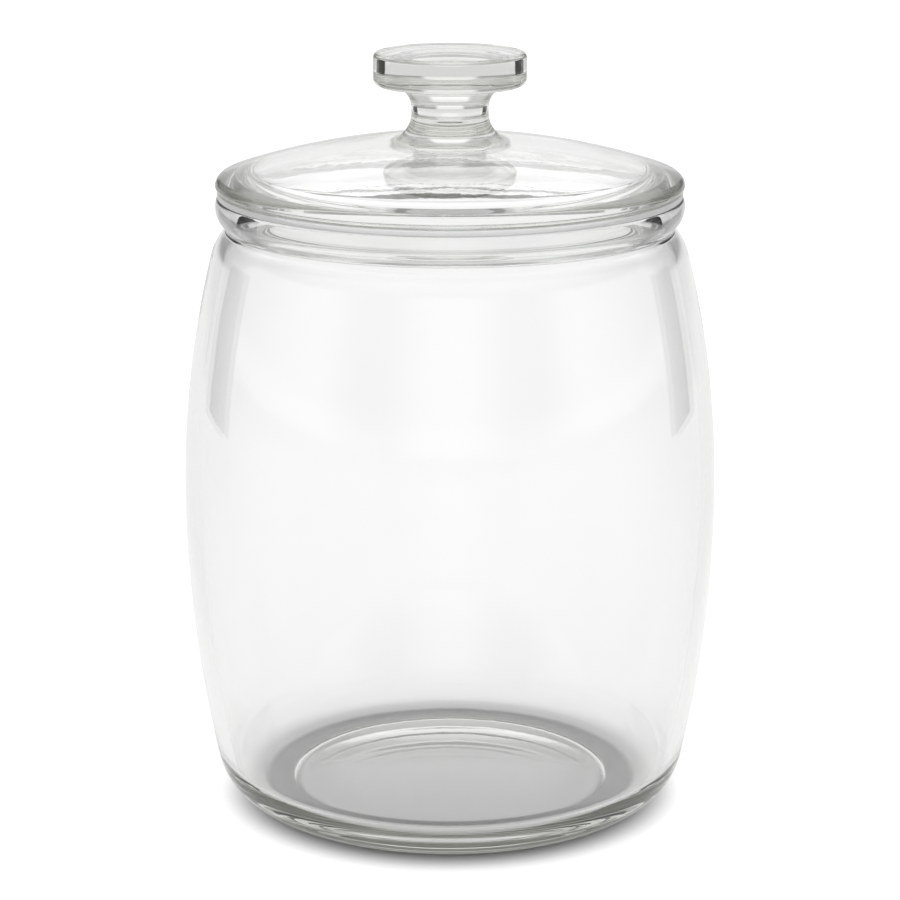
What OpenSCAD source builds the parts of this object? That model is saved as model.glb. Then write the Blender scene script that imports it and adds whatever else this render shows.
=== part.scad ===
// Lidded glass canister, about one US gallon: a thick barrel-shaped glass jar, a domed
// glass lid with its stem and disc knob in one solid piece, and the clear soft ring that
// sits round the lid's locating ring and seals it in the mouth.
// Millimetres, +Z up. The origin is on the jar's axis, at the level the foot stands on.

/* [Jar] */
// Height of the jar, from the foot to the top of the rim
jar_h = 207; // [195:1:225]
// Diameter of the barrel at its widest girth
belly_d = 178; // [172:1:190]
// Height of the widest girth above the foot
belly_z = 106; // [98:0.5:114]
// Radius of the barrel's side curve below the girth
lower_curve_r = 428; // [370:1:520]
// Radius that turns the barrel in to the neck
shoulder_r = 17; // [12:0.5:22]
// How far the shoulder's round stands out past the bottom of the crease
shoulder_out = 5.5; // [4:0.1:8]
// Radius of the heel, where the side turns under the base
heel_r = 20.5; // [16:0.5:28]
// Thickness of the side wall
wall = 4.6; // [3.5:0.1:6]
// Thickness of the base, from the foot to the floor inside
base_t = 9; // [6:0.5:14]
// Radius between the floor and the wall inside
floor_r = 12; // [8:0.5:18]
// Width of the ring that the jar stands on
foot_w = 6; // [3:0.5:12]
// Rise of the hollow under the base, inside the foot
push_up = 2.5; // [1:0.25:4]

/* [Rim and neck] */
// Diameter of the rim at its own girth
rim_d = 154.6; // [152:0.2:158]
// Radius of the rim's rounded side
rim_curve_r = 8; // [7:0.25:10]
// Height from the rim's girth up to its top
rim_top_h = 3.4; // [2.5:0.1:4.5]
// Depth of the crease under the rim, from the rim's girth
crease_depth = 3.4; // [2.5:0.1:4.5]
// Radius at the bottom of the crease
crease_r = 1.2; // [0.8:0.1:2]
// Width of the rim, from its girth in to the mouth
rim_w = 7.3; // [6.5:0.1:9]
// Radius of the rim's two top edges
lip_r = 1.2; // [0.6:0.1:1.8]
// Radius that opens the mouth into the shoulder inside
throat_r = 5; // [3:0.5:7]

/* [Seal ring] */
// Thickness of the seal's flange, between the lid and the rim
seal_flange_t = 2; // [1:0.1:3]
// Setback of the flange's edge from the rim's girth
seal_setback = 0.6; // [0.2:0.1:1.5]
// Thickness of the sleeve round the locating ring
seal_sleeve_t = 0.9; // [0.7:0.1:1.5]
// Length of the sleeve below the flange
seal_sleeve_h = 6.6; // [6:0.1:7.6]
// Number of soft lips round the sleeve
lip_count = 3; // [2:1:4]
// Thickness of one lip
lip_t = 0.7; // [0.5:0.1:1]
// Gap between the lips and the wall of the mouth
lip_gap = 0.3; // [0.3:0.05:0.6]
// Reach of the lips from the sleeve
lip_reach = 0.8; // [0.5:0.1:1.2]
// Clearance between the sleeve and the locating ring
sleeve_gap = 0.05; // [0.02:0.01:0.1]

/* [Lid] */
// Setback of the lid's edge from the rim's girth
lid_setback = 0.1; // [0:0.1:1]
// Height of the crown above the lid's flat underside, as if the dome had no knob
crown_h = 16.9; // [13:0.1:22]
// Glass thickness of the dome
dome_t = 5; // [4:0.1:6]
// Upper radius of the lid's edge
edge_upper_r = 3; // [2:0.1:4]
// Lower radius of the lid's edge
edge_lower_r = 1.7; // [1:0.1:2.5]
// Depth of the locating ring below the lid's flat underside
ring_h = 9; // [9:0.5:14]
// Thickness of the locating ring
ring_t = 3; // [2.5:0.1:4]
// Radius between the locating ring and the dome inside
ring_root_r = 2.5; // [1:0.5:4]

/* [Knob] */
// Diameter of the knob's disc
knob_d = 50.2; // [44:0.2:60]
// Thickness of the disc
knob_t = 10.8; // [8:0.1:14]
// Radius of the disc's top edge
knob_top_r = 1.6; // [0.8:0.1:2.5]
// Radius of the disc's lower edge
knob_low_r = 2.2; // [0.8:0.1:3]
// Diameter of the stem at its waist
stem_d = 25.4; // [20:0.2:30]
// Height from the dome's crown to the disc's underside
stem_h = 17.1; // [14:0.1:24]
// Radius where the stem spreads into the dome
stem_foot_r = 9; // [5:0.5:10]
// Length of the stem's straight waist
waist_h = 1.5; // [0.5:0.1:3]
// Width of the flat ring under the disc, between its lower edge and the stem's spread
disc_flat_w = 2.7; // [1:0.1:4]

/* [Hidden] */

$fn = 128;
// Farthest that a straight step may stray from the true arc
arc_tol = 0.015;
// Points closer than this are one point
same_point = 0.0001;

belly_r = belly_d / 2;
rim_r = rim_d / 2;
mouth_r = rim_r - rim_w;
crease_girth_r = rim_r - crease_depth;

knob_r = knob_d / 2;
stem_r = stem_d / 2;

seal_edge_r = rim_r - seal_setback;
lip_outer_r = mouth_r - lip_gap;
sleeve_outer_r = lip_outer_r - lip_reach;
sleeve_inner_r = sleeve_outer_r - seal_sleeve_t;
sleeve_pitch = (seal_sleeve_h - lip_r - lip_t) / (lip_count - 1);

ring_outer_r = sleeve_inner_r - sleeve_gap;
ring_inner_r = ring_outer_r - ring_t;

lid_z = jar_h + seal_flange_t;
lid_r = rim_r - lid_setback;
crown_z = lid_z + crown_h;
disc_z = crown_z + stem_h;
knob_top_z = disc_z + knob_t;

// Direction from point a to point b, in degrees
function heading(a, b) = atan2(b[1] - a[1], b[0] - a[0]);

// Points of an arc round c from angle a0 to angle a1
function arc(c, r, a0, a1) =
    let (step = 2 * acos(1 - arc_tol / r), n = max(2, ceil(abs(a1 - a0) / step)))
    [for (i = [0:n]) let (a = a0 + (a1 - a0) * i / n) c + r * [cos(a), sin(a)]];

// The side of a right triangle, from its longest side and the other one
function leg(longest, other) = sqrt(longest * longest - other * other);

// The x of a round's centre at height z, at distance d from the centre c
function round_x(c, d, z) = c[0] + leg(d, z - c[1]);

// Radius of a circular curve, from its sagitta and half its chord
function curve_r(rise, half_chord) =
    (half_chord * half_chord + rise * rise) / (2 * rise);

// The outline without points that repeat the one before
function outline(p) =
    [for (i = [0:len(p) - 1]) if (i == 0 || norm(p[i] - p[max(i - 1, 0)]) > same_point) p[i]];

// Centres of the neck's curves, as [x, z] in a half section
rim_c = [rim_r - rim_curve_r, jar_h - rim_top_h];
crease_x = crease_girth_r + crease_r;
crease_c = [crease_x, rim_c[1] - leg(rim_curve_r + crease_r, crease_x - rim_c[0])];
lip_c = [round_x(rim_c, rim_curve_r - lip_r, jar_h - lip_r), jar_h - lip_r];
shoulder_x = crease_girth_r + shoulder_out - shoulder_r;
shoulder_c = [shoulder_x, crease_c[1] - leg(shoulder_r + crease_r, crease_x - shoulder_x)];
inner_shoulder_r = shoulder_r - wall;
throat_x = mouth_r + throat_r;
throat_c = [throat_x, shoulder_c[1] + leg(inner_shoulder_r + throat_r, throat_x - shoulder_x)];

// Centres of the barrel's curves: upright at the girth, and smooth into the shoulder and heel
draw_in = belly_r - crease_girth_r - shoulder_out;
upper_curve_r = shoulder_r + curve_r(draw_in, shoulder_c[1] - belly_z);
upper_c = [belly_r - upper_curve_r, belly_z];
lower_c = [belly_r - lower_curve_r, belly_z];
heel_c = [round_x(lower_c, lower_curve_r - heel_r, heel_r), heel_r];
floor_z = base_t + floor_r;
floor_c = [round_x(lower_c, lower_curve_r - wall - floor_r, floor_z), floor_z];
foot_in_r = heel_c[0] - foot_w;
push_up_r = curve_r(push_up, foot_in_r);
push_up_c = [0, push_up - push_up_r];

// Centres of the lid's curves
edge_c = [lid_r - edge_upper_r, lid_z + edge_lower_r];
edge_rise = crown_z - edge_c[1];
dome_r = (pow(edge_c[0], 2) + pow(edge_rise, 2) - pow(edge_upper_r, 2))
    / (2 * (edge_rise - edge_upper_r));
dome_c = [0, crown_z - dome_r];
inner_dome_r = dome_r - dome_t;
stem_foot_x = stem_r + stem_foot_r;
stem_foot_c = [stem_foot_x, dome_c[1] + leg(dome_r + stem_foot_r, stem_foot_x)];
// Above its waist the stem spreads to the flat ring under the disc
disc_flat_r = knob_r - knob_low_r - disc_flat_w;
neck_z = stem_foot_c[1] + waist_h;
neck_r = curve_r(disc_flat_r - stem_r, disc_z - neck_z);
neck_c = [stem_r + neck_r, neck_z];
ring_root_x = ring_inner_r - ring_root_r;
ring_root_c = [ring_root_x, dome_c[1] + leg(inner_dome_r - ring_root_r, ring_root_x)];

// Outer side of the jar, from the foot up to the top of the rim
function jar_outside() = concat(
    arc(heel_c, heel_r, -90, heading(lower_c, heel_c)),
    arc(lower_c, lower_curve_r, heading(lower_c, heel_c), 0),
    arc(upper_c, upper_curve_r, 0, heading(upper_c, shoulder_c)),
    arc(shoulder_c, shoulder_r, heading(upper_c, shoulder_c), heading(shoulder_c, crease_c)),
    arc(
        crease_c, crease_r,
        heading(shoulder_c, crease_c) + 180, heading(crease_c, rim_c)
    ),
    arc(rim_c, rim_curve_r, heading(rim_c, crease_c), heading(rim_c, lip_c)),
    arc(lip_c, lip_r, heading(rim_c, lip_c), 90)
);

// Inner side of the jar, from the mouth down to the middle of the floor
function jar_inside() = concat(
    arc([mouth_r + lip_r, jar_h - lip_r], lip_r, 90, 180),
    arc(throat_c, throat_r, 180, heading(shoulder_c, throat_c) + 180),
    arc(
        shoulder_c, inner_shoulder_r,
        heading(shoulder_c, throat_c), heading(upper_c, shoulder_c)
    ),
    arc(upper_c, upper_curve_r - wall, heading(upper_c, shoulder_c), 0),
    arc(lower_c, lower_curve_r - wall, 0, heading(lower_c, floor_c)),
    arc(floor_c, floor_r, heading(lower_c, floor_c), -90),
    [[0, base_t]]
);

// Underside of the base: a shallow hollow, from the middle out to the foot
function jar_underside() = arc(push_up_c, push_up_r, 90, heading(push_up_c, [foot_in_r, 0]));

module jar() {
    color([0.87, 0.93, 0.91, 0.35])
        rotate_extrude()
            polygon(outline(concat(jar_underside(), jar_outside(), jar_inside())));
}

// Soft flange and sleeve, with the lips that bear on the wall of the mouth
module seal_ring() {
    color([0.93, 0.95, 0.95, 0.6])
        rotate_extrude() {
            translate([sleeve_inner_r, jar_h])
                square([seal_edge_r - sleeve_inner_r, seal_flange_t]);
            translate([sleeve_inner_r, jar_h - seal_sleeve_h])
                square([seal_sleeve_t, seal_sleeve_h + seal_flange_t]);
            for (i = [0:lip_count - 1])
                translate([sleeve_outer_r, jar_h - seal_sleeve_h + i * sleeve_pitch])
                    seal_lip();
        }
}

// Half section of one lip: full at the sleeve, thinner at its tip
module seal_lip() {
    polygon([
        [-seal_sleeve_t / 2, 0],
        [lip_reach, lip_t / 2],
        [lip_reach, lip_t],
        [-seal_sleeve_t / 2, lip_t]
    ]);
}

// Outer side of the lid, from the middle of the knob's top down to the edge's underside
function lid_outside() = concat(
    [[0, knob_top_z]],
    arc([knob_r - knob_top_r, knob_top_z - knob_top_r], knob_top_r, 90, 0),
    arc([knob_r - knob_low_r, disc_z + knob_low_r], knob_low_r, 0, -90),
    arc(neck_c, neck_r, heading(neck_c, [disc_flat_r, disc_z]), 180),
    arc(stem_foot_c, stem_foot_r, 180, heading(dome_c, stem_foot_c) + 180),
    arc(dome_c, dome_r, heading(dome_c, stem_foot_c), heading(dome_c, edge_c)),
    arc(edge_c, edge_upper_r, heading(dome_c, edge_c), 0),
    arc([lid_r - edge_lower_r, edge_c[1]], edge_lower_r, 0, -90)
);

// Underside of the lid: the locating ring, then the hollow of the dome
function lid_inside() = concat(
    [[ring_outer_r, lid_z]],
    arc(
        [ring_outer_r - ring_t / 2, lid_z - ring_h + ring_t / 2], ring_t / 2,
        0, -180
    ),
    arc(ring_root_c, ring_root_r, 0, heading(dome_c, ring_root_c)),
    arc(dome_c, inner_dome_r, heading(dome_c, ring_root_c), 90)
);

module lid() {
    color([0.87, 0.93, 0.91, 0.35])
        rotate_extrude()
            polygon(outline(concat(lid_outside(), lid_inside())));
}

jar();
seal_ring();
lid();
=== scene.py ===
import math

import bmesh
import bpy
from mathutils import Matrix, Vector


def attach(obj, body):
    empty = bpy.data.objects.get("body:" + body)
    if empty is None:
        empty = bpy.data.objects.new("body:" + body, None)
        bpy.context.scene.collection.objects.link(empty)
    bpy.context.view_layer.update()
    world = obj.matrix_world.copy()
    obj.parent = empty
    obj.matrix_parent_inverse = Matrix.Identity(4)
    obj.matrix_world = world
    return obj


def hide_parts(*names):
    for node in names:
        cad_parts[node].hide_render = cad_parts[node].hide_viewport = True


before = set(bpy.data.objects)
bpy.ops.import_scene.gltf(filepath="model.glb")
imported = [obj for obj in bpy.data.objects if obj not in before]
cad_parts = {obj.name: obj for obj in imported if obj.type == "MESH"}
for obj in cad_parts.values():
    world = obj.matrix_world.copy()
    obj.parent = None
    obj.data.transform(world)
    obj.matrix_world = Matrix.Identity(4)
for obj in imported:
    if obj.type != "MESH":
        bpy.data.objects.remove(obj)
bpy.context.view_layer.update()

MM = 0.001
scene = bpy.context.scene


# ---------------------------------------------------------------- camera

CAMERA_PITCH = 14.61
CAMERA_DISTANCE = 1.061
AIM_HEIGHT = 0.1198
LENS = 126.2
SENSOR_WIDTH = 36.0

aim = Vector((0.0, 0.0, AIM_HEIGHT))
pitch = math.radians(CAMERA_PITCH)
camera = bpy.data.objects.new("product_camera", bpy.data.cameras.new("product_camera"))
camera.data.lens = LENS
camera.data.sensor_width = SENSOR_WIDTH
camera.location = aim + CAMERA_DISTANCE * Vector((0.0, -math.cos(pitch), math.sin(pitch)))
camera.rotation_euler = (aim - camera.location).to_track_quat("-Z", "Y").to_euler()
scene.collection.objects.link(camera)
scene.camera = camera
scene.view_settings.view_transform = "Standard"


# ---------------------------------------------------------------- node writing

class Value:
    """A node socket that carries a number, which Python operators can work on."""

    def __init__(self, maker, socket):
        self.maker = maker
        self.socket = socket

    def _join(self, operation, *others):
        return Value(self.maker, self.maker.node(
            "ShaderNodeMath", {"operation": operation}, dict(enumerate(others))).outputs[0])

    def __add__(self, other):
        return self._join("ADD", self, other)

    def __radd__(self, other):
        return self._join("ADD", other, self)

    def __sub__(self, other):
        return self._join("SUBTRACT", self, other)

    def __rsub__(self, other):
        return self._join("SUBTRACT", other, self)

    def __mul__(self, other):
        return self._join("MULTIPLY", self, other)

    def __rmul__(self, other):
        return self._join("MULTIPLY", other, self)

    def __truediv__(self, other):
        return self._join("DIVIDE", self, other)

    def __rtruediv__(self, other):
        return self._join("DIVIDE", other, self)

    def sqrt(self):
        return self._join("SQRT", self)

    def abs(self):
        return self._join("ABSOLUTE", self)

    def sine(self):
        return self._join("SINE", self)

    def cosine(self):
        return self._join("COSINE", self)

    def arccosine(self):
        return self._join("ARCCOSINE", self)

    def arcsine(self):
        return self._join("ARCSINE", self)

    def whole(self):
        return self._join("FLOOR", self)

    def most(self, other):
        return self._join("MAXIMUM", self, other)

    def least(self, other):
        return self._join("MINIMUM", self, other)


class Nodes:
    """Writes nodes into one tree."""

    def __init__(self, tree):
        self.tree = tree

    def node(self, kind, settings=None, sockets=None):
        made = self.tree.nodes.new(kind)
        for name, value in (settings or {}).items():
            setattr(made, name, value)
        for name, value in (sockets or {}).items():
            self.feed(made.inputs[name], value)
        return made

    def feed(self, socket, value):
        if isinstance(value, Value):
            self.tree.links.new(value.socket, socket)
        elif isinstance(value, bpy.types.NodeSocket):
            self.tree.links.new(value, socket)
        else:
            socket.default_value = value

    def value(self, socket):
        return Value(self, socket)

    def ease(self, value, start, end, low=0.0, high=1.0):
        """Goes smoothly from low to high while the value goes from start to end."""
        return self.value(self.node("ShaderNodeMapRange", {"interpolation_type": "SMOOTHSTEP"}, {
            "Value": value, "From Min": start, "From Max": end,
            "To Min": low, "To Max": high}).outputs[0])

    def band(self, value, start, end, soft):
        """1 between start and end and 0 outside them, with soft edges."""
        rise = self.ease(value, start - soft, start + soft)
        fall = self.ease(value, end - soft, end + soft, 1.0, 0.0)
        return rise * fall

    def noise(self, place, scale, detail, roughness=0.5):
        return self.node("ShaderNodeTexNoise", {}, {
            "Vector": place, "Scale": scale, "Detail": detail,
            "Roughness": roughness}).outputs[0]

    def blend(self, factor, first, second):
        """Mixes two colours."""
        return self.node("ShaderNodeMix", {"data_type": "RGBA"}, {
            0: factor, 6: first, 7: second}).outputs[2]

    def bump(self, height, strength, distance):
        return self.node("ShaderNodeBump", {}, {
            "Height": height, "Strength": strength, "Distance": distance}).outputs[0]


# ---------------------------------------------------------------- outlines
# Sizes in millimetres. An outline is a list of [radius, height] in a half section.

JAR_H = 207.0
BELLY_R = 89.0
BELLY_Z = 106.0
LOWER_CURVE_R = 428.0
SHOULDER_R = 17.0
SHOULDER_OUT = 5.5
HEEL_R = 20.5
WALL = 4.6
BASE_T = 9.0
FLOOR_R = 12.0
FOOT_W = 6.0
FOOT_ROUND = 0.6
PUSH_UP = 2.5

RIM_R = 77.3
RIM_CURVE_R = 8.0
RIM_TOP_H = 3.4
CREASE_DEPTH = 3.4
CREASE_R = 1.2
RIM_W = 7.3
LIP_R = 1.2
THROAT_R = 5.0

SEAL_FLANGE_T = 2.0
SEAL_SETBACK = 0.6
SEAL_SLEEVE_T = 0.9
SEAL_SLEEVE_H = 6.6
SEAL_ROUND = 0.35
LIP_COUNT = 3
LIP_T = 0.7
LIP_GAP = 0.3
LIP_REACH = 0.8
LIP_TIP_R = 0.16
LIP_ROOT_REACH = 0.4
LIP_ROOT_DROP = 0.14
LIP_TIP_AT, LIP_LOWER_AT, LIP_UPPER_AT = 0.72, 0.36, 0.96
SLEEVE_DRAFT = 0.02
SLEEVE_TOE_RISE = 0.1
FLANGE_ROOT_OUT = 0.2
FLANGE_ROOT_DROP = 0.3
SLEEVE_GAP = 0.05
FACE_GAP = 0.02

LID_SETBACK = 0.1
CROWN_H = 16.9
DOME_T = 5.0
EDGE_UPPER_R = 3.0
EDGE_LOWER_R = 1.7
RING_H = 9.0
RING_T = 3.0
RING_ROOT_R = 2.5

KNOB_R = 25.1
KNOB_T = 10.8
KNOB_TOP_R = 1.6
KNOB_LOW_R = 2.2
STEM_R = 12.7
STEM_H = 17.1
STEM_FOOT_R = 9.0
WAIST_H = 1.5
DISC_FLAT_W = 2.7

SAME_POINT = 0.002

LID_Z = JAR_H + SEAL_FLANGE_T
MOUTH_R = RIM_R - RIM_W
SLEEVE_OUTER_R = MOUTH_R - LIP_GAP - LIP_REACH
SLEEVE_INNER_R = SLEEVE_OUTER_R - SEAL_SLEEVE_T


def leg(longest, other):
    """The other short side of a right-angled triangle."""
    return math.sqrt(longest * longest - other * other)


def curve_r(rise, half_chord):
    """Radius of the arc that rises this far over this half chord."""
    return (half_chord * half_chord + rise * rise) / (2 * rise)


def heading(a, b):
    """Direction from a to b, in degrees."""
    return math.degrees(math.atan2(b[1] - a[1], b[0] - a[0]))


def arc(centre, r, start, end, step_mm=2.0, step_deg=6.0):
    """Points of an arc, none farther apart than step_mm, and none turning more than step_deg."""
    turn = abs(end - start)
    count = max(2, math.ceil(turn / step_deg), math.ceil(math.radians(turn) * r / step_mm))
    return [
        [centre[0] + r * math.cos(math.radians(a)), centre[1] + r * math.sin(math.radians(a))]
        for a in (start + (end - start) * i / count for i in range(count + 1))
    ]


def line(a, b, step_mm=2.0):
    """Points of a straight line, none farther apart than step_mm."""
    count = max(1, math.ceil(math.dist(a, b) / step_mm))
    return [[a[k] + (b[k] - a[k]) * i / count for k in (0, 1)] for i in range(count + 1)]


def without_repeats(points):
    kept = [points[0]]
    for p in points[1:]:
        if math.dist(p, kept[-1]) > SAME_POINT:
            kept.append(p)
    return kept


def jar_outline():
    """From the hollow under the base, round the outside, over the rim and down the inside."""
    crease_girth_r = RIM_R - CREASE_DEPTH
    rim_c = [RIM_R - RIM_CURVE_R, JAR_H - RIM_TOP_H]
    crease_x = crease_girth_r + CREASE_R
    crease_c = [crease_x, rim_c[1] - leg(RIM_CURVE_R + CREASE_R, crease_x - rim_c[0])]
    lip_z = JAR_H - LIP_R
    lip_c = [rim_c[0] + leg(RIM_CURVE_R - LIP_R, lip_z - rim_c[1]), lip_z]
    shoulder_x = crease_girth_r + SHOULDER_OUT - SHOULDER_R
    shoulder_c = [shoulder_x, crease_c[1] - leg(SHOULDER_R + CREASE_R, crease_x - shoulder_x)]
    inner_shoulder_r = SHOULDER_R - WALL
    throat_x = MOUTH_R + THROAT_R
    throat_c = [throat_x, shoulder_c[1] + leg(inner_shoulder_r + THROAT_R, throat_x - shoulder_x)]
    draw_in = BELLY_R - crease_girth_r - SHOULDER_OUT
    upper_r = SHOULDER_R + curve_r(draw_in, shoulder_c[1] - BELLY_Z)
    upper_c = [BELLY_R - upper_r, BELLY_Z]
    lower_c = [BELLY_R - LOWER_CURVE_R, BELLY_Z]
    heel_c = [lower_c[0] + leg(LOWER_CURVE_R - HEEL_R, HEEL_R - BELLY_Z), HEEL_R]
    floor_z = BASE_T + FLOOR_R
    floor_c = [lower_c[0] + leg(LOWER_CURVE_R - WALL - FLOOR_R, floor_z - BELLY_Z), floor_z]
    foot_in_r = heel_c[0] - FOOT_W
    push_up_r = curve_r(PUSH_UP, foot_in_r)
    push_up_c = [0.0, PUSH_UP - push_up_r]
    under = arc(push_up_c, push_up_r, 90, heading(push_up_c, [foot_in_r, 0.0]), 3.0)
    return without_repeats(
        under[:-1]
        + arc([foot_in_r + FOOT_ROUND, FOOT_ROUND], FOOT_ROUND, 225, 270)
        + line([foot_in_r + FOOT_ROUND, 0.0], [heel_c[0], 0.0])
        + arc(heel_c, HEEL_R, -90, heading(lower_c, heel_c), 1.2, 3.5)
        + arc(lower_c, LOWER_CURVE_R, heading(lower_c, heel_c), 0, 3.0)
        + arc(upper_c, upper_r, 0, heading(upper_c, shoulder_c), 3.0)
        + arc(shoulder_c, SHOULDER_R, heading(upper_c, shoulder_c),
              heading(shoulder_c, crease_c), 1.2, 5.0)
        + arc(crease_c, CREASE_R, heading(shoulder_c, crease_c) + 180, heading(crease_c, rim_c))
        + arc(rim_c, RIM_CURVE_R, heading(rim_c, crease_c), heading(rim_c, lip_c), 1.0, 5.0)
        + arc(lip_c, LIP_R, heading(rim_c, lip_c), 90, 1.0, 9.0)
        + line([lip_c[0], JAR_H], [MOUTH_R + LIP_R, JAR_H], 1.5)
        + arc([MOUTH_R + LIP_R, lip_z], LIP_R, 90, 180, 1.0, 9.0)
        + line([MOUTH_R, lip_z], [MOUTH_R, throat_c[1]], 1.5)
        + arc(throat_c, THROAT_R, 180, heading(shoulder_c, throat_c) + 180, 1.0, 5.0)
        + arc(shoulder_c, inner_shoulder_r, heading(shoulder_c, throat_c),
              heading(upper_c, shoulder_c), 1.2, 5.0)
        + arc(upper_c, upper_r - WALL, heading(upper_c, shoulder_c), 0, 3.0)
        + arc(lower_c, LOWER_CURVE_R - WALL, 0, heading(lower_c, floor_c), 3.0)
        + arc(floor_c, FLOOR_R, heading(lower_c, floor_c), -90, 1.0, 4.0)
        + line([floor_c[0], BASE_T], [0.0, BASE_T], 3.5)
    )


def lid_outline():
    """From the top of the disc, down the stem, over the dome and back under it."""
    lid_r = RIM_R - LID_SETBACK
    under_z = LID_Z + FACE_GAP
    crown_z = LID_Z + CROWN_H
    disc_z = crown_z + STEM_H
    top_z = disc_z + KNOB_T
    edge_c = [lid_r - EDGE_UPPER_R, LID_Z + EDGE_LOWER_R]
    low_c = [lid_r - EDGE_LOWER_R, LID_Z + EDGE_LOWER_R]
    edge_rise = crown_z - edge_c[1]
    dome_r = (edge_c[0] ** 2 + edge_rise ** 2 - EDGE_UPPER_R ** 2) / (
        2 * (edge_rise - EDGE_UPPER_R))
    dome_c = [0.0, crown_z - dome_r]
    inner_r = dome_r - DOME_T
    foot_x = STEM_R + STEM_FOOT_R
    foot_c = [foot_x, dome_c[1] + leg(dome_r + STEM_FOOT_R, foot_x)]
    disc_flat_r = KNOB_R - KNOB_LOW_R - DISC_FLAT_W
    neck_z = foot_c[1] + WAIST_H
    neck_r = curve_r(disc_flat_r - STEM_R, disc_z - neck_z)
    neck_c = [STEM_R + neck_r, neck_z]
    ring_outer_r = SLEEVE_INNER_R - SLEEVE_GAP
    ring_inner_r = ring_outer_r - RING_T
    root_x = ring_inner_r - RING_ROOT_R
    root_c = [root_x, dome_c[1] + leg(inner_r - RING_ROOT_R, root_x)]
    tip_c = [ring_outer_r - RING_T / 2, LID_Z - RING_H + RING_T / 2]
    return without_repeats(
        line([0.0, top_z], [KNOB_R - KNOB_TOP_R, top_z], 2.5)
        + arc([KNOB_R - KNOB_TOP_R, top_z - KNOB_TOP_R], KNOB_TOP_R, 90, 0, 1.0, 7.0)
        + line([KNOB_R, top_z - KNOB_TOP_R], [KNOB_R, disc_z + KNOB_LOW_R], 1.5)
        + arc([KNOB_R - KNOB_LOW_R, disc_z + KNOB_LOW_R], KNOB_LOW_R, 0, -90, 1.0, 6.0)
        + line([KNOB_R - KNOB_LOW_R, disc_z], [disc_flat_r, disc_z], 1.5)
        + arc(neck_c, neck_r, heading(neck_c, [disc_flat_r, disc_z]), 180, 1.0, 4.0)
        + line([STEM_R, neck_z], [STEM_R, foot_c[1]], 1.5)
        + arc(foot_c, STEM_FOOT_R, 180, heading(dome_c, foot_c) + 180, 1.0, 4.0)
        + arc(dome_c, dome_r, heading(dome_c, foot_c), heading(dome_c, edge_c), 1.8)
        + arc(edge_c, EDGE_UPPER_R, heading(dome_c, edge_c), 0, 1.0, 5.0)
        + arc(low_c, EDGE_LOWER_R - FACE_GAP, 0, -90, 1.0, 6.0)
        + line([low_c[0], under_z], [ring_outer_r, under_z], 1.5)
        + line([ring_outer_r, under_z], [ring_outer_r, tip_c[1]], 1.5)
        + arc(tip_c, RING_T / 2, 0, -180, 1.0, 9.0)
        + line([ring_inner_r, tip_c[1]], [ring_inner_r, root_c[1]], 1.5)
        + arc(root_c, RING_ROOT_R, 0, heading(dome_c, root_c), 1.0, 6.0)
        + arc(dome_c, inner_r, heading(dome_c, root_c), 90, 2.2)
    )


def seal_outline():
    """A closed outline: flange, lips and sleeve in one soft moulding with rounded corners.

    The top lip sits below the rounded lip of the jar's mouth.
    """
    steps = (1.0, 15.0)
    edge_r = RIM_R - SEAL_SETBACK
    top = LID_Z - FACE_GAP
    under = JAR_H + FACE_GAP
    foot = JAR_H - SEAL_SLEEVE_H
    pitch_mm = (SEAL_SLEEVE_H - LIP_R - LIP_T) / (LIP_COUNT - 1)
    round_r = SEAL_ROUND
    points = (
        arc([SLEEVE_INNER_R + round_r, foot + round_r], round_r, 180, 270, *steps)
        + arc([SLEEVE_OUTER_R - round_r, foot + SLEEVE_TOE_RISE + round_r], round_r,
              270, 300, *steps)
    )
    for i in range(LIP_COUNT):
        low = foot + i * pitch_mm
        tip_x = SLEEVE_OUTER_R + LIP_REACH - LIP_TIP_R
        root_x = SLEEVE_OUTER_R + LIP_ROOT_REACH
        points += [[SLEEVE_OUTER_R + SLEEVE_DRAFT, low + LIP_ROOT_DROP]] if i else []
        points += [[root_x, low + LIP_T * LIP_LOWER_AT]]
        points += arc([tip_x, low + LIP_T * LIP_TIP_AT], LIP_TIP_R, -70, 80, 1.0, 30.0)
        points += [[root_x, low + LIP_T * LIP_UPPER_AT], [SLEEVE_OUTER_R, low + LIP_T]]
    flange_x = SLEEVE_OUTER_R + FLANGE_ROOT_OUT
    points += (
        line([SLEEVE_OUTER_R, JAR_H - FLANGE_ROOT_DROP], [flange_x, under], 1.0)
        + line([flange_x, under], [edge_r - round_r, under], 1.5)
        + arc([edge_r - round_r, under + round_r], round_r, -90, 0, *steps)
        + line([edge_r, under + round_r], [edge_r, top - round_r], 0.7)
        + arc([edge_r - round_r, top - round_r], round_r, 0, 90, *steps)
        + line([edge_r - round_r, top], [SLEEVE_INNER_R + round_r, top], 1.5)
        + arc([SLEEVE_INNER_R + round_r, top - round_r], round_r, 90, 180, *steps)
        + line([SLEEVE_INNER_R, top - round_r], [SLEEVE_INNER_R, foot + round_r], 1.0)
    )
    return without_repeats(points)


# ---------------------------------------------------------------- turned pieces

MERGE_WITHIN = 2e-7
SEGMENTS = 256


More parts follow.
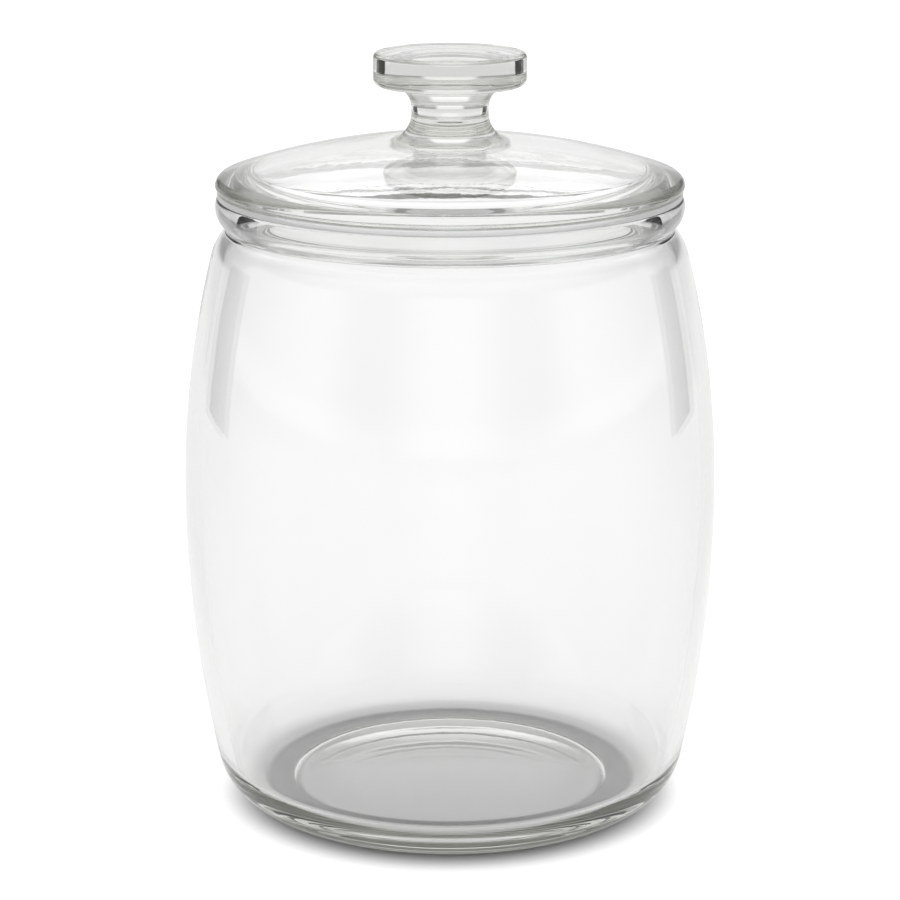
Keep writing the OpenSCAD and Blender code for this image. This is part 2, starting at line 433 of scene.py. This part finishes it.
def turning_tree():
    """Geometry Nodes: turns an outline round the Z axis into one closed skin."""
    tree = bpy.data.node_groups.new("turned_piece", "GeometryNodeTree")
    face = tree.interface
    face.new_socket("Outline", in_out="INPUT", socket_type="NodeSocketGeometry")
    face.new_socket("Segments", in_out="INPUT", socket_type="NodeSocketInt")
    face.new_socket("Finish", in_out="INPUT", socket_type="NodeSocketMaterial")
    face.new_socket("Piece", in_out="OUTPUT", socket_type="NodeSocketGeometry")
    n = Nodes(tree)
    given = n.node("NodeGroupInput").outputs
    outline = given["Outline"]
    segments = n.value(given["Segments"])
    count = n.node("GeometryNodeAttributeDomainSize", {"component": "MESH"},
                   {"Geometry": outline}).outputs["Point Count"]
    around = segments + 1.0
    grid = n.node("GeometryNodeMeshGrid", {}, {"Vertices X": count, "Vertices Y": around}).outputs
    index = n.value(n.node("GeometryNodeInputIndex").outputs[0])
    along = ((index + 0.5) / around).whole()
    step = index - along * around
    sample = n.node("GeometryNodeSampleIndex", {"data_type": "FLOAT_VECTOR", "domain": "POINT"},
                    {"Geometry": outline,
                     "Value": n.node("GeometryNodeInputPosition").outputs[0],
                     "Index": along}).outputs[0]
    place = n.node("ShaderNodeSeparateXYZ", {}, {0: sample}).outputs
    angle = step * (2 * math.pi) / segments
    radius = n.value(place[0])
    turned = n.node("ShaderNodeCombineXYZ", {}, {
        0: radius * angle.cosine(), 1: radius * angle.sine(), 2: place[2]}).outputs[0]
    skin = n.node("GeometryNodeSetPosition", {}, {
        "Geometry": grid["Mesh"], "Position": turned}).outputs[0]
    skin = n.node("GeometryNodeMergeByDistance", {}, {
        "Geometry": skin, "Distance": MERGE_WITHIN}).outputs[0]
    skin = n.node("GeometryNodeSetShadeSmooth", {}, {"Geometry": skin}).outputs[0]
    skin = n.node("GeometryNodeRealizeInstances", {}, {"Geometry": skin}).outputs[0]
    skin = n.node("GeometryNodeSetMaterial", {}, {
        "Geometry": skin, "Material": given["Finish"]}).outputs[0]
    n.node("NodeGroupOutput", {}, {"Piece": skin})
    return tree


def turned(name, outline, finish, closed=False):
    """Turns an outline in millimetres into a plain mesh object with its faces outwards."""
    points = [(r * MM, 0.0, z * MM) for r, z in outline]
    if closed:
        points.append(points[0])
    raw = bpy.data.meshes.new(name + "_outline")
    raw.from_pydata(points, [(i, i + 1) for i in range(len(points) - 1)], [])
    blank = bpy.data.objects.new(name + "_outline", raw)
    scene.collection.objects.link(blank)
    work = blank.modifiers.new("turning", "NODES")
    work.node_group = TURNING
    sockets = {s.name: s.identifier for s in TURNING.interface.items_tree
               if s.item_type == "SOCKET" and s.in_out == "INPUT"}
    for label, value in (("Segments", SEGMENTS), ("Finish", finish)):
        work[sockets[label]] = value
    blank.update_tag()
    depsgraph = bpy.context.evaluated_depsgraph_get()
    mesh = bpy.data.meshes.new_from_object(blank.evaluated_get(depsgraph))
    blank.modifiers.remove(work)
    bpy.data.objects.remove(blank)
    mesh.name = name
    skin = bmesh.new()
    skin.from_mesh(mesh)
    if skin.calc_volume(signed=True) < 0:
        bmesh.ops.reverse_faces(skin, faces=skin.faces)
    skin.to_mesh(mesh)
    skin.free()
    piece = bpy.data.objects.new(name, mesh)
    scene.collection.objects.link(piece)
    return piece


# ---------------------------------------------------------------- finishes

GLASS_IOR = 1.517
GLASS_HUES = (0.985, 0.992, 0.986, 1.0), (1.0, 1.0, 1.0, 1.0)
GLASS_DEPTH_DENSITY = 40.0
CLOUD_SCALE = 14.0
FINE_PER_RIPPLE = 9.0
FINE_HEIGHT = 0.04
SMEAR_FROM, SMEAR_TO = 0.5, 0.8
SMEAR_ROUGHNESS = 0.012

SEAL_IOR = 1.41
SEAL_HUES = (0.965, 0.97, 0.965, 1.0), (0.99, 0.995, 0.99, 1.0)
SLEEVE_BODY, FLANGE_BODY = 0.06, 0.6
BODY_CHANGE = 0.2
BLOOM_SCALE, BLOOM_FROM, BLOOM_TO = 60.0, 0.3, 0.7
BLOOM_ROUGHNESS = 0.30, 0.42
GRAIN_SCALE, GRAIN_STRENGTH, GRAIN_HEIGHT = 900.0, 0.4, 0.00003


def new_finish(name):
    """An empty material and a writer for its nodes."""
    finish = bpy.data.materials.new(name)
    finish.use_nodes = True
    finish.node_tree.nodes.clear()
    return finish, Nodes(finish.node_tree)


def pressed_glass(name, shift, tint, ripple_scale, ripple_height):
    """Clear pressed glass: a faint tint with depth, soft ripples and faint smears."""
    finish, n = new_finish(name)
    place = n.node("ShaderNodeTexCoord").outputs["Object"]
    place = n.node("ShaderNodeMapping", {}, {
        "Vector": place, "Location": (shift, shift * 0.7, 0.0)}).outputs[0]
    broad = n.noise(place, ripple_scale, 2.0, 0.35)
    fine = n.noise(place, ripple_scale * FINE_PER_RIPPLE, 3.0)
    cloud = n.noise(place, CLOUD_SCALE, 2.0)
    smear = n.ease(fine, SMEAR_FROM, SMEAR_TO, 0.0, SMEAR_ROUGHNESS)
    height = n.value(broad) + n.value(fine) * FINE_HEIGHT
    glass = n.node("ShaderNodeBsdfPrincipled", {}, {
        "Base Color": n.blend(cloud, *GLASS_HUES), "Roughness": smear, "IOR": GLASS_IOR,
        "Transmission Weight": 1.0, "Normal": n.bump(height, 1.0, ripple_height)}).outputs[0]
    depth = n.node("ShaderNodeVolumeAbsorption", {}, {
        "Color": tint, "Density": GLASS_DEPTH_DENSITY}).outputs[0]
    n.node("ShaderNodeOutputMaterial", {}, {"Surface": glass, "Volume": depth})
    return finish


def soft_clear(name):
    """Clear soft seal: milky at its flange, with a matt bloom and a fine grain."""
    finish, n = new_finish(name)
    place = n.node("ShaderNodeTexCoord").outputs["Object"]
    height = n.node("ShaderNodeSeparateXYZ", {}, {0: place}).outputs[2]
    body = n.ease(height, (JAR_H - BODY_CHANGE) * MM, (JAR_H + BODY_CHANGE) * MM,
                  SLEEVE_BODY, FLANGE_BODY)
    bloom = n.noise(place, BLOOM_SCALE, 3.0)
    grain = n.noise(place, GRAIN_SCALE, 2.0)
    matt = n.node("ShaderNodeMapRange", {}, {
        "Value": bloom, "From Min": BLOOM_FROM, "From Max": BLOOM_TO,
        "To Min": BLOOM_ROUGHNESS[0], "To Max": BLOOM_ROUGHNESS[1]}).outputs[0]
    clear = n.node("ShaderNodeBsdfPrincipled", {}, {
        "Base Color": n.blend(bloom, *SEAL_HUES), "Roughness": matt, "IOR": SEAL_IOR,
        "Alpha": body, "Normal": n.bump(grain, GRAIN_STRENGTH, GRAIN_HEIGHT)}).outputs[0]
    n.node("ShaderNodeOutputMaterial", {}, {"Surface": clear})
    return finish


jar_glass = pressed_glass("jar_glass", 0.13, (0.910, 0.912, 0.899, 1.0), 22.0, 0.00014)
lid_glass = pressed_glass("lid_glass", 0.57, (0.916, 0.919, 0.904, 1.0), 30.0, 0.0001)
clear_seal = soft_clear("clear_seal")


# ---------------------------------------------------------------- the canister

TURNING = turning_tree()

jar = turned("glass_jar", jar_outline(), jar_glass)
lid = turned("glass_lid", lid_outline(), lid_glass)
seal = turned("soft_seal", seal_outline(), clear_seal, closed=True)

for piece, node, body, slot in (
    (jar, "jar", "jar", "jar_glass"),
    (lid, "lid", "lid", "lid_glass"),
    (seal, "seal_ring", "lid", "clear_seal"),
):
    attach(piece, body)
    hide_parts(node)


# ---------------------------------------------------------------- table
# Lengths in metres. The table is shorter where the studio's dark cards stand.

WHITE = (1.0, 1.0, 1.0, 1.0)
TABLE_LEVEL = -0.00003
TABLE_R = 2.6
TABLE_SHORT_R = 0.9
TABLE_SHORT_FROM, TABLE_SHORT_TO = 40.0, 70.0
TABLE_STEP = 2

# Painted shadow: a dark ring in the table's colour and glow, 53 to 63 mm round the axis, under
# the canister's foot.
PAINTED_SHADOW_RING_FROM, PAINTED_SHADOW_RING_TO, PAINTED_SHADOW_RING_SOFT = 0.053, 0.063, 0.002
PAINTED_SHADOW_RING_DEPTH = 0.75
# Painted shadow: the table's glow fades in from 63 to 82 mm round the axis, so the floor under
# and beside the foot is painted darker.
PAINTED_SHADOW_EDGE_FROM, PAINTED_SHADOW_EDGE_TO = 0.063, 0.082
# Painted shade: from these distances the floor's glow for glass is dimmed, to the sides and far
# off.
ASIDE_FROM, ASIDE_TO = 0.08, 0.24
FAR_FROM, FAR_TO = 1.15, 1.75
PAPER, PAPER_GRAIN, PAPER_SCALE = 0.45, 0.02, 25.0

DIRECT_GLOW = 0.78
COVERED_GLOW, OPEN_GLOW = 0.45, 0.55
GLASS_GLOW = 0.56
FAR_DIM, ASIDE_DIM = 0.22, 0.12


def ray_kinds(n):
    """Light Path, 1 on every ray that glass sends out, and 1 on the refracted ones alone."""
    seen = n.node("ShaderNodeLightPath").outputs
    refracted = n.value(seen["Is Transmission Ray"])
    return seen, refracted.most(n.value(seen["Is Glossy Ray"])), refracted


def table():
    """A wide white table. It keeps the canister's shadow and adds a painted shadow: a dark ring
    under the foot, and a glow that starts only outside the foot. Glass sees it grey far off, with
    painted shade far off and to the sides.
    """
    edge = []
    for turn in range(0, 360, TABLE_STEP):
        short = TABLE_SHORT_FROM <= abs(turn - 180.0) <= TABLE_SHORT_TO
        radius = TABLE_SHORT_R if short else TABLE_R
        angle = math.radians(turn + 180.0)
        edge.append((radius * math.sin(angle), radius * math.cos(angle), TABLE_LEVEL))
    mesh = bpy.data.meshes.new("white_table")
    mesh.from_pydata(edge, [], [range(len(edge) - 1, -1, -1)])
    top = bpy.data.objects.new("white_table", mesh)
    scene.collection.objects.link(top)

    finish, n = new_finish("white_paper")
    spot = n.node("ShaderNodeTexCoord").outputs["Object"]
    place = n.node("ShaderNodeSeparateXYZ", {}, {0: spot}).outputs
    x, y = n.value(place[0]), n.value(place[1])
    out = (x * x + y * y).sqrt()
    # Painted contact shadow: the ring under the canister's foot.
    painted_foot_shadow = n.band(out, PAINTED_SHADOW_RING_FROM, PAINTED_SHADOW_RING_TO, PAINTED_SHADOW_RING_SOFT)
    glow_past_painted_shadow = n.ease(out, PAINTED_SHADOW_EDGE_FROM, PAINTED_SHADOW_EDGE_TO)
    aside = n.ease(x.abs(), ASIDE_FROM, ASIDE_TO)
    far = n.ease(out, FAR_FROM, FAR_TO)
    grain = n.value(n.noise(spot, PAPER_SCALE, 4.0))
    # The paper's colour is darkened by the painted shadow ring under the foot.
    white = (PAPER + grain * PAPER_GRAIN) * (1.0 - painted_foot_shadow * PAINTED_SHADOW_RING_DEPTH)
    colour = n.node("ShaderNodeCombineColor", {}, {0: white, 1: white, 2: white}).outputs[0]
    matt = n.node("ShaderNodeBsdfDiffuse", {}, {"Color": colour}).outputs[0]
    seen, through, _ = ray_kinds(n)
    # Painted shadow: for the camera the glow starts only outside the foot, and for glass the
    # floor under the canister glows less.
    direct = n.value(seen["Is Camera Ray"]) * glow_past_painted_shadow * DIRECT_GLOW
    for_glass = COVERED_GLOW * (1.0 - painted_foot_shadow) + glow_past_painted_shadow * OPEN_GLOW
    # Painted shade: for glass the floor's glow is dimmer far off and to the sides.
    dimmed = GLASS_GLOW - far * FAR_DIM - aside * (1.0 - far) * ASIDE_DIM
    glow = n.node("ShaderNodeEmission", {}, {
        "Color": WHITE, "Strength": direct + through * for_glass * dimmed}).outputs[0]
    both = n.node("ShaderNodeAddShader", {}, {0: matt, 1: glow}).outputs[0]
    n.node("ShaderNodeOutputMaterial", {}, {"Surface": both})
    mesh.materials.append(finish)


# ---------------------------------------------------------------- studio
# Each zone is (start, end, softness) in degrees: round from straight behind, or up.

SWEEP_ROUND, SWEEP_UP = (-20.0, 14.0, 3.0), (0.0, 100.0, 2.0)
FLOOR_SWEEP_UP = (-100.0, -8.9, 1.6)
HORIZON_UP = (-100.0, 0.0, 2.0)
CARDS_ROUND, CARDS_UP = (46.8, 66.0, 0.6), (-18.0, 8.0, 2.0)
BOXES_ROUND, BOXES_UP = (62.0, 200.0, 4.0), (-3.0, 24.0, 6.0)
BOXES_GAP_ROUND = (130.0, 162.0, 13.0)
CEILING_FROM, CEILING_TO = 18.0, 54.0
LIFT_ROUND, LIFT_UP = (-20.0, 30.0, 6.0), (9.0, 30.0, 4.0)
BRIGHT_SWEEP_UP = (16.0, 60.0, 5.0)
GLOSS_ROUND = (-20.0, 60.0, 8.0)
GLOSS_HIGH_UP, GLOSS_LOW_UP = (26.0, 50.0, 6.0), (3.0, 20.0, 3.0)

ROOM_LIGHT, HORIZON_LIGHT, LIFT_LIGHT = 0.38, 0.40, 0.25
SWEEP_LIGHT, BRIGHT_SWEEP_LIGHT = 0.98, 0.22
BOX_LIGHT, CEILING_LIGHT = 0.6, 0.75
GLOSS_HIGH_LIGHT, GLOSS_LOW_DIM = 0.9, 0.15
CARD_MIRROR_FADE = 0.45


def studio():
    """A white studio for the camera. Glass also sees its sweep, boxes, cards and ceiling."""
    world = bpy.data.worlds.new("white_studio")
    scene.world = world
    world.use_nodes = True
    world.node_tree.nodes.clear()
    n = Nodes(world.node_tree)
    way = n.node("ShaderNodeSeparateXYZ", {}, {
        0: n.node("ShaderNodeTexCoord").outputs["Generated"]}).outputs
    x, y, z = (n.value(socket) for socket in way)
    flat = (x * x + y * y).sqrt().most(0.0001)
    degrees = 180.0 / math.pi
    around = (y / flat).least(1.0).most(-1.0).arccosine() * degrees
    up = z.least(1.0).most(-1.0).arcsine() * degrees

    backdrop = n.band(around, *SWEEP_ROUND) * n.band(up, *SWEEP_UP) + n.band(up, *FLOOR_SWEEP_UP)
    cards = n.band(around, *CARDS_ROUND) * n.band(up, *CARDS_UP)
    boxes = n.band(around, *BOXES_ROUND) * (1.0 - n.band(around, *BOXES_GAP_ROUND))
    boxes = boxes * n.band(up, *BOXES_UP)
    ceiling = n.ease(up, CEILING_FROM, CEILING_TO)
    _, through, refracted = ray_kinds(n)
    mirrored = through - refracted

    room = (ROOM_LIGHT + n.band(up, *HORIZON_UP) * HORIZON_LIGHT
            + n.band(around, *LIFT_ROUND) * n.band(up, *LIFT_UP) * LIFT_LIGHT)
    sweep = SWEEP_LIGHT + n.band(up, *BRIGHT_SWEEP_UP) * BRIGHT_SWEEP_LIGHT
    wall = room + (sweep - room) * backdrop + boxes * BOX_LIGHT
    wall = wall * (1.0 - cards * (1.0 - mirrored * CARD_MIRROR_FADE))
    gloss = mirrored * n.band(around, *GLOSS_ROUND) * (
        n.band(up, *GLOSS_HIGH_UP) * GLOSS_HIGH_LIGHT - n.band(up, *GLOSS_LOW_UP) * GLOSS_LOW_DIM)
    light = wall * (1.0 - ceiling) + ceiling * CEILING_LIGHT + gloss
    glow = n.node("ShaderNodeBackground", {}, {
        "Color": WHITE, "Strength": 1.0 - through + through * light}).outputs[0]
    n.node("ShaderNodeOutputWorld", {}, {"Surface": glow})


table()
studio()

scene.cycles.max_bounces = 32
scene.cycles.transmission_bounces = 32
scene.cycles.glossy_bounces = 24
